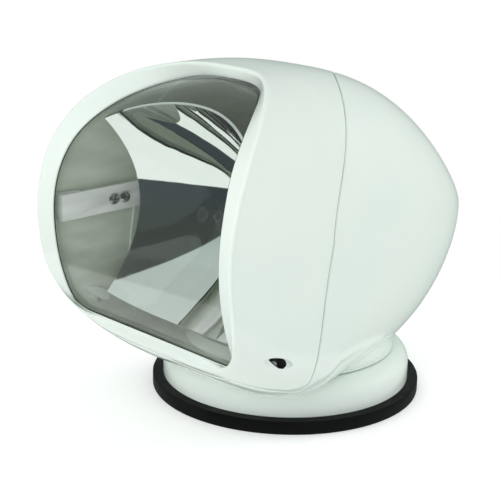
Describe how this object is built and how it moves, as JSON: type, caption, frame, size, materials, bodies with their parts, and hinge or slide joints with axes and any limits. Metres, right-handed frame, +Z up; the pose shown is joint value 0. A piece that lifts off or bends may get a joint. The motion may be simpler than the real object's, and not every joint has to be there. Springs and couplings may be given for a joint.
{
  "type": "marine searchlight",
  "caption": "Remote-controlled marine searchlight: a round deck base with a gasket and a panning white head whose lamp and square parabolic reflector tilt behind a wrap-over window.",
  "frame": {"origin": "where the pan axis meets the deck, in the middle of the base's underside", "axes": "+Z up along the pan axis; the beam leaves towards -Y at rest; +X to the right of someone who looks along the beam's axis from the front, level with the tilt axis"},
  "size_m": [0.18, 0.2846, 0.221],
  "materials": {
    "white_gelcoat": "glossy white moulding",
    "black_rubber": "matt black rubber",
    "grey_moulding": "grey glass-filled moulding",
    "black_moulding": "black moulding",
    "nylon": "natural nylon",
    "mirror": "vacuum-coated mirror",
    "zinc_sheet": "bright zinc-plated steel",
    "stainless": "plain stainless steel",
    "brass": "turned brass",
    "clear_window": "clear",
    "ceramic": "unglazed ceramic",
    "board_green": "green solder resist"
  },
  "bodies": {
    "base": {"mounting_gasket": "black_rubber", "base_housing": "white_gelcoat", "base_plate": "grey_moulding", "base_screw_1": "stainless", "base_screw_2": "stainless", "base_screw_3": "stainless", "deck_insert_1": "brass", "deck_insert_2": "brass", "deck_insert_3": "brass", "cable_gland": "black_moulding", "gland_nut": "black_moulding", "pan_spindle": "grey_moulding", "pan_sun_gear": "nylon", "spindle_nut": "black_moulding", "thrust_washer": "nylon"},
    "head": {"rear_housing": "white_gelcoat", "front_bezel": "white_gelcoat", "pan_seal": "black_rubber", "window_seal": "black_rubber", "turntable": "grey_moulding", "pivot_bracket_right": "grey_moulding", "pivot_bracket_left": "grey_moulding", "relay_1": "black_moulding", "relay_2": "black_moulding", "pivot_bush_right": "nylon", "pivot_bush_left": "nylon", "board_connector": "nylon", "pan_motor_bracket": "zinc_sheet", "pan_gearbox": "zinc_sheet", "pan_motor": "zinc_sheet", "tilt_motor_bracket": "zinc_sheet", "tilt_gearbox": "zinc_sheet", "tilt_motor": "zinc_sheet", "board_bracket": "zinc_sheet", "turntable_screw_1": "stainless", "turntable_screw_2": "stainless", "turntable_screw_3": "stainless", "turntable_screw_4": "stainless", "bezel_screw_right": "stainless", "bezel_screw_left": "stainless", "bracket_screw_right_1": "stainless", "bracket_screw_right_2": "stainless", "bracket_screw_left_1": "stainless", "bracket_screw_left_2": "stainless", "board_screw_1": "stainless", "board_screw_2": "stainless", "radio_receiver": "stainless", "window_lens": "clear_window", "control_board": "board_green"},
    "tilt": {"reflector": "mirror", "tilt_frame": "zinc_sheet", "pivot_pin_right": "stainless", "pivot_pin_left": "stainless", "bulb_holder": "ceramic", "halogen_bulb": "clear_window", "bulb_clip": "stainless", "tilt_sector_gear": "nylon"},
    "pan_pinion": {"pan_pinion": "brass"},
    "tilt_pinion": {"tilt_pinion": "brass"}
  },
  "joints": [
    {"name": "pan", "type": "hinge", "parent": "base", "child": "head", "pos_m": [0, 0, 0], "axis": [0, 0, 1], "range_deg": [-185, 185]},
    {"name": "tilt", "type": "hinge", "parent": "head", "child": "tilt", "pos_m": [0, -0.0443, 0.1271], "axis": [1, 0, 0], "range_deg": [-30, 30]},
    {"name": "pan_pinion_spin", "type": "hinge", "parent": "head", "child": "pan_pinion", "pos_m": [0, 0.039, 0], "axis": [0, 0, 1], "range_deg": [-620, 620]},
    {"name": "tilt_pinion_spin", "type": "hinge", "parent": "head", "child": "tilt_pinion", "pos_m": [0, 0.0127, 0.1271], "axis": [1, 0, 0], "range_deg": [-162, 162]}
  ],
  "couplings": [
    {"joint": "pan_pinion_spin", "follows": "pan", "ratio": 3.3333},
    {"joint": "tilt_pinion_spin", "follows": "tilt", "ratio": -5.3333}
  ]
}
